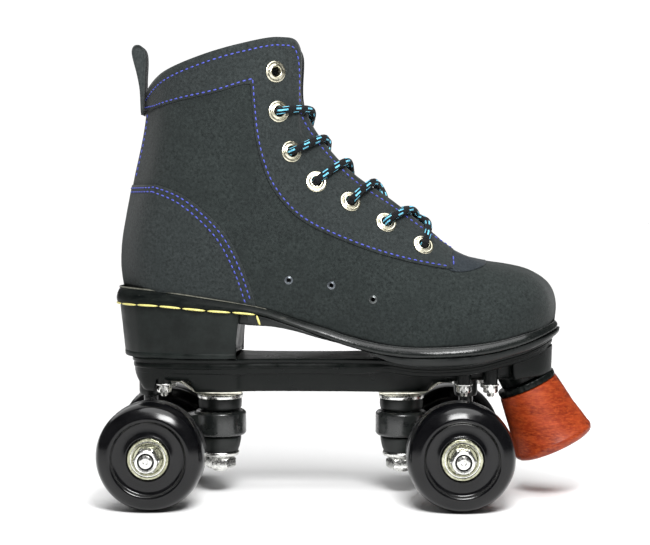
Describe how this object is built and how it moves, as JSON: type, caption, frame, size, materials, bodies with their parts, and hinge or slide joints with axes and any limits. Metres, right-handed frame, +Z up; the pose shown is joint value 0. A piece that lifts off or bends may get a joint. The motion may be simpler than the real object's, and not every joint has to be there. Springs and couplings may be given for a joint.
{
  "type": "quad roller skate",
  "caption": "Laced high-top suede boot on a black nylon plate with steering trucks, urethane wheels on ball bearings and a tapered rubber toe stop.",
  "frame": {"origin": "centre of the footprint of the whole skate, on the ground that the wheels stand on", "axes": "+X towards the toe stop, +Y towards the skater's left, +Z up"},
  "size_m": [0.27, 0.134, 0.2529],
  "materials": {
    "suede": "fine dark charcoal suede, matt",
    "lining": "dark woven lining",
    "sole": "black sole leather, semi-gloss edge dressing",
    "lace": "round black woven lace with light blue flecks",
    "aglet": "smoky plastic tip",
    "nylon": "black moulded nylon, low gloss",
    "stop_rubber": "orange-red rubber, slightly mottled",
    "zinc": "bright zinc plate",
    "cast": "black coated casting",
    "cushion": "black rubber",
    "wheel": "high-gloss black urethane",
    "bearing": "polished bearing steel, slightly yellow"
  },
  "bodies": {
    "root": {"boot_upper": "suede", "boot_pull_tab": "suede", "boot_tongue": "lining", "boot_insole": "lining", "boot_welt": "sole", "boot_outsole": "sole", "boot_heel": "sole", "boot_lace": "lace", "lace_aglet_right": "aglet", "lace_aglet_left": "aglet", "sole_plate": "nylon", "toe_stop_lock_nut": "nylon", "toe_stop_rubber": "stop_rubber", "toe_stop_stem": "zinc", "plate_bolt_heel_right": "zinc", "plate_bolt_heel_left": "zinc", "plate_bolt_ball_right": "zinc", "plate_bolt_ball_left": "zinc", "plate_bolt_toe_right": "zinc", "plate_bolt_toe_left": "zinc", "truck_rear_kingpin": "zinc", "truck_rear_base": "zinc", "truck_rear_washer_top": "zinc", "truck_rear_washer_bottom": "zinc", "truck_rear_kingpin_nut": "zinc", "truck_rear_cushion_top": "cushion", "truck_rear_cushion_bottom": "cushion", "truck_rear_pivot_cup": "cushion", "truck_front_kingpin": "zinc", "truck_front_base": "zinc", "truck_front_washer_top": "zinc", "truck_front_washer_bottom": "zinc", "truck_front_kingpin_nut": "zinc", "truck_front_cushion_top": "cushion", "truck_front_cushion_bottom": "cushion", "truck_front_pivot_cup": "cushion"},
    "rear_right_wheel": {"wheel_rear_right": "wheel", "bearing_rear_right_outer": "bearing", "bearing_rear_right_inner": "bearing"},
    "rear_left_wheel": {"wheel_rear_left": "wheel", "bearing_rear_left_outer": "bearing", "bearing_rear_left_inner": "bearing"},
    "rear_truck": {"truck_rear_hanger": "cast", "truck_rear_axle": "zinc", "axle_nut_rear_right": "zinc", "axle_nut_rear_left": "zinc"},
    "front_right_wheel": {"wheel_front_right": "wheel", "bearing_front_right_outer": "bearing", "bearing_front_right_inner": "bearing"},
    "front_left_wheel": {"wheel_front_left": "wheel", "bearing_front_left_outer": "bearing", "bearing_front_left_inner": "bearing"},
    "front_truck": {"truck_front_hanger": "cast", "truck_front_axle": "zinc", "axle_nut_front_right": "zinc", "axle_nut_front_left": "zinc"}
  },
  "joints": [
    {"name": "rear_steer", "type": "hinge", "parent": "root", "child": "rear_truck", "pos_m": [-0.073, 0, 0.04045], "axis": [-0.9163, 0, 0.4006], "range_deg": [-7, 7], "stiffness_Nm_per_rad": 22, "deforming": ["truck_rear_cushion_top", "truck_rear_cushion_bottom"]},
    {"name": "rear_right_spin", "type": "hinge", "parent": "rear_truck", "child": "rear_right_wheel", "pos_m": [-0.106, -0.0435, 0.029], "axis": [0, 1, 0], "continuous": true},
    {"name": "rear_left_spin", "type": "hinge", "parent": "rear_truck", "child": "rear_left_wheel", "pos_m": [-0.106, 0.0435, 0.029], "axis": [0, 1, 0], "continuous": true},
    {"name": "front_steer", "type": "hinge", "parent": "root", "child": "front_truck", "pos_m": [0.029, 0, 0.04045], "axis": [0.9038, 0, 0.428], "range_deg": [-7, 7], "stiffness_Nm_per_rad": 22, "deforming": ["truck_front_cushion_top", "truck_front_cushion_bottom"]},
    {"name": "front_right_spin", "type": "hinge", "parent": "front_truck", "child": "front_right_wheel", "pos_m": [0.059, -0.0435, 0.029], "axis": [0, 1, 0], "continuous": true},
    {"name": "front_left_spin", "type": "hinge", "parent": "front_truck", "child": "front_left_wheel", "pos_m": [0.059, 0.0435, 0.029], "axis": [0, 1, 0], "continuous": true}
  ]
}
